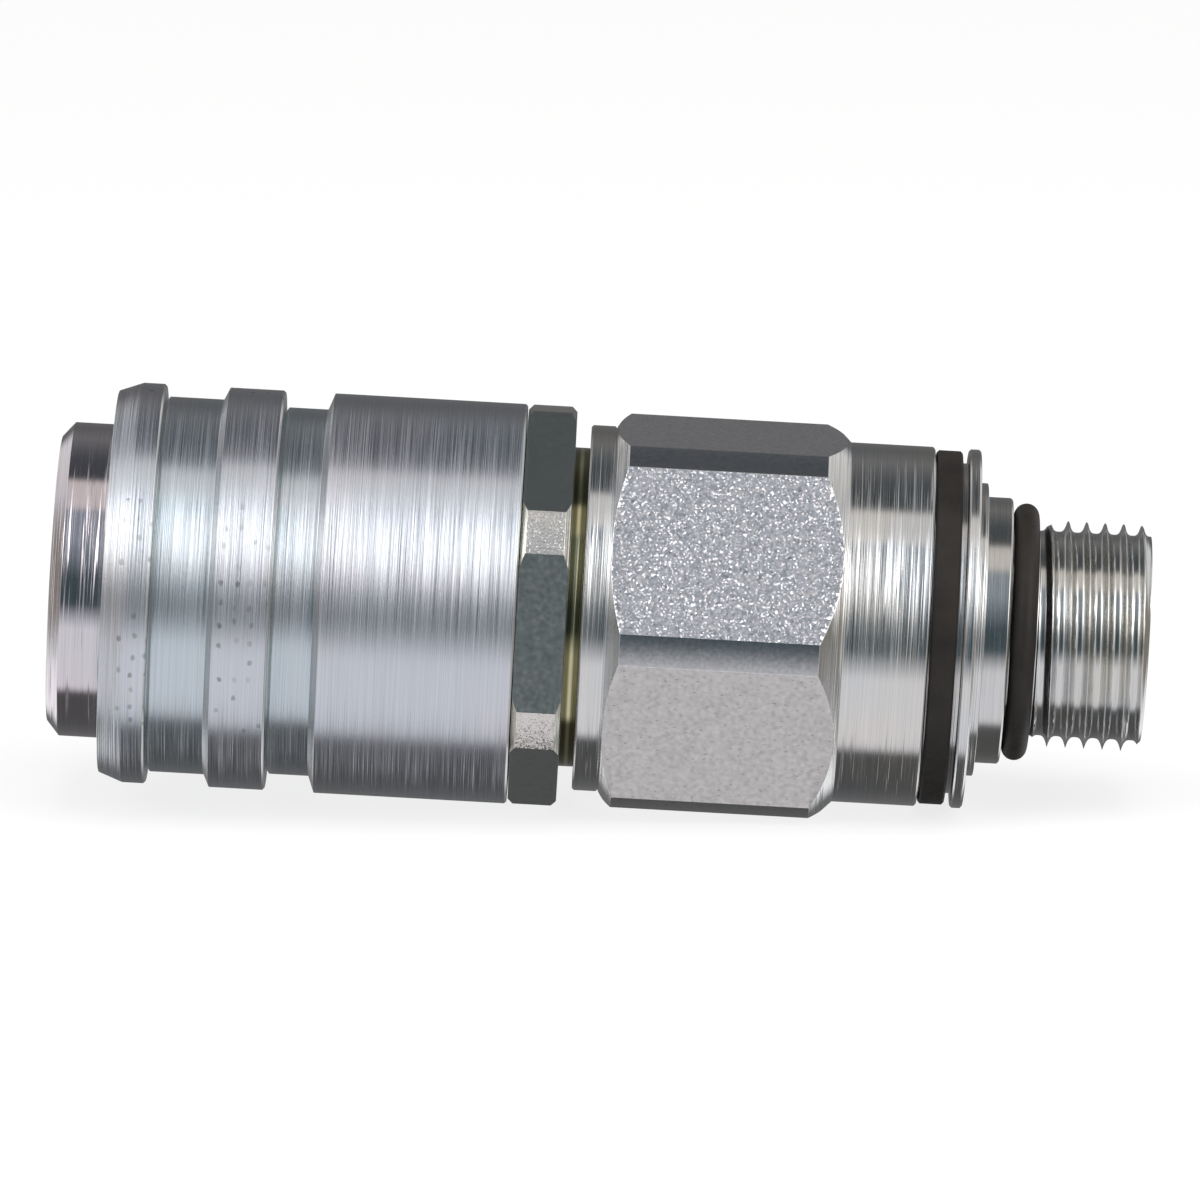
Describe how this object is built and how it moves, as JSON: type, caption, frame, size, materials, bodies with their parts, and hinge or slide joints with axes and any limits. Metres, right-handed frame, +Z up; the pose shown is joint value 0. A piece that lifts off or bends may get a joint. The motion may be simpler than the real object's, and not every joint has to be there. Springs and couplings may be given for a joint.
{
  "type": "hydraulic quick coupler",
  "caption": "Socket half of a hydraulic quick coupler with a sliding lock sleeve, ball lock, poppet valve and a threaded port with a face seal.",
  "frame": {"origin": "on the axis, at the start of the socket bore, half a millimetre inside the plane of the mouth's rim", "axes": "+X along the axis from the mouth to the threaded port; +Z up, with one flat of the big hexagon facing down"},
  "size_m": [0.1071, 0.0398, 0.0392],
  "materials": {
    "plated_body": "zinc-plated turned steel, bright, with a faint yellow tint",
    "brushed_sleeve": "satin plated steel with fine rings round the axis, small dents and stains",
    "turned_adapter": "plated steel, ground flats with a grainy sparkle, turned rings on the round parts",
    "spring_wire": "hard-drawn spring steel",
    "washer_steel": "plain steel washer",
    "ball_steel": "polished bearing steel",
    "valve_steel": "turned steel",
    "black_rubber": "black nitrile rubber, slightly oily",
    "white_backup": "white fluoropolymer, waxy"
  },
  "bodies": {
    "coupler_body": {"socket_body": "plated_body", "port_adapter": "turned_adapter", "sleeve_snap_ring": "spring_wire", "tip_seal": "black_rubber", "tip_backup_ring": "white_backup", "valve_guide": "valve_steel", "guide_snap_ring": "spring_wire", "poppet_spring": "spring_wire", "body_o_ring": "black_rubber", "body_backup_ring": "white_backup", "collar_seal": "black_rubber", "port_o_ring": "black_rubber"},
    "spring_pack": {"sleeve_washer": "washer_steel", "sleeve_spring": "spring_wire"},
    "lock_sleeve": {"lock_sleeve": "brushed_sleeve"},
    "poppet": {"valve_poppet": "valve_steel", "poppet_seal": "black_rubber"},
    "ball_1": {"lock_ball_1": "ball_steel"},
    "ball_2": {"lock_ball_2": "ball_steel"},
    "ball_3": {"lock_ball_3": "ball_steel"},
    "ball_4": {"lock_ball_4": "ball_steel"},
    "ball_5": {"lock_ball_5": "ball_steel"},
    "ball_6": {"lock_ball_6": "ball_steel"},
    "ball_7": {"lock_ball_7": "ball_steel"},
    "ball_8": {"lock_ball_8": "ball_steel"}
  },
  "joints": [
    {"name": "sleeve_turn", "type": "hinge", "parent": "coupler_body", "child": "spring_pack", "pos_m": [0, 0, 0], "axis": [1, 0, 0], "continuous": true},
    {"name": "sleeve_slide", "type": "slide", "parent": "spring_pack", "child": "lock_sleeve", "axis": [-1, 0, 0], "range_m": [0, 0.005], "stiffness_N_per_m": 3000, "springref_m": -0.003, "deforming": ["sleeve_spring"]},
    {"name": "poppet_slide", "type": "slide", "parent": "coupler_body", "child": "poppet", "axis": [1, 0, 0], "range_m": [0, 0.0055], "stiffness_N_per_m": 1500, "springref_m": -0.008, "deforming": ["poppet_spring"]},
    {"name": "ball_1_lift", "type": "slide", "parent": "coupler_body", "child": "ball_1", "axis": [0, 0, 1], "range_m": [0, 0.00135]},
    {"name": "ball_2_lift", "type": "slide", "parent": "coupler_body", "child": "ball_2", "axis": [0, -0.7071, 0.7071], "range_m": [0, 0.00135]},
    {"name": "ball_3_lift", "type": "slide", "parent": "coupler_body", "child": "ball_3", "axis": [0, -1, 0], "range_m": [0, 0.00135]},
    {"name": "ball_4_lift", "type": "slide", "parent": "coupler_body", "child": "ball_4", "axis": [0, -0.7071, -0.7071], "range_m": [0, 0.00135]},
    {"name": "ball_5_lift", "type": "slide", "parent": "coupler_body", "child": "ball_5", "axis": [0, 0, -1], "range_m": [0, 0.00135]},
    {"name": "ball_6_lift", "type": "slide", "parent": "coupler_body", "child": "ball_6", "axis": [0, 0.7071, -0.7071], "range_m": [0, 0.00135]},
    {"name": "ball_7_lift", "type": "slide", "parent": "coupler_body", "child": "ball_7", "axis": [0, 1, 0], "range_m": [0, 0.00135]},
    {"name": "ball_8_lift", "type": "slide", "parent": "coupler_body", "child": "ball_8", "axis": [0, 0.7071, 0.7071], "range_m": [0, 0.00135]}
  ],
  "couplings": [
    {"joint": "ball_1_lift", "follows": "sleeve_slide", "ratio": 0.27},
    {"joint": "ball_2_lift", "follows": "sleeve_slide", "ratio": 0.27},
    {"joint": "ball_3_lift", "follows": "sleeve_slide", "ratio": 0.27},
    {"joint": "ball_4_lift", "follows": "sleeve_slide", "ratio": 0.27},
    {"joint": "ball_5_lift", "follows": "sleeve_slide", "ratio": 0.27},
    {"joint": "ball_6_lift", "follows": "sleeve_slide", "ratio": 0.27},
    {"joint": "ball_7_lift", "follows": "sleeve_slide", "ratio": 0.27},
    {"joint": "ball_8_lift", "follows": "sleeve_slide", "ratio": 0.27}
  ]
}
